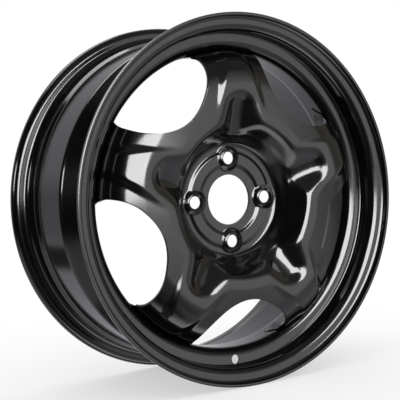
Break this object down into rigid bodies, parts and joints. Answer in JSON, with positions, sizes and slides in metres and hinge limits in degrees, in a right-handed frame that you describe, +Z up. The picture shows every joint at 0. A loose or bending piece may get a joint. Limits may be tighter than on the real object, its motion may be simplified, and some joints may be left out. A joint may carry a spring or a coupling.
{
  "type": "steel wheel rim",
  "caption": "Pressed-steel car wheel: a rolled drop-centre rim welded to a spoked disc that bolts to a hub and carries a tubeless tyre.",
  "frame": {"origin": "centre of the disc's hub face, on the axle", "axes": "+Y along the axle towards the car, so the outboard side faces -Y; +Z up through one spoke; +X to the right seen from outboard"},
  "size_m": [0.4402, 0.1855, 0.44],
  "materials": {
    "paint": "gloss"
  },
  "bodies": {
    "root": {"rim_barrel": "paint", "wheel_disc": "paint", "disc_welds": "paint"}
  },
  "joints": []
}
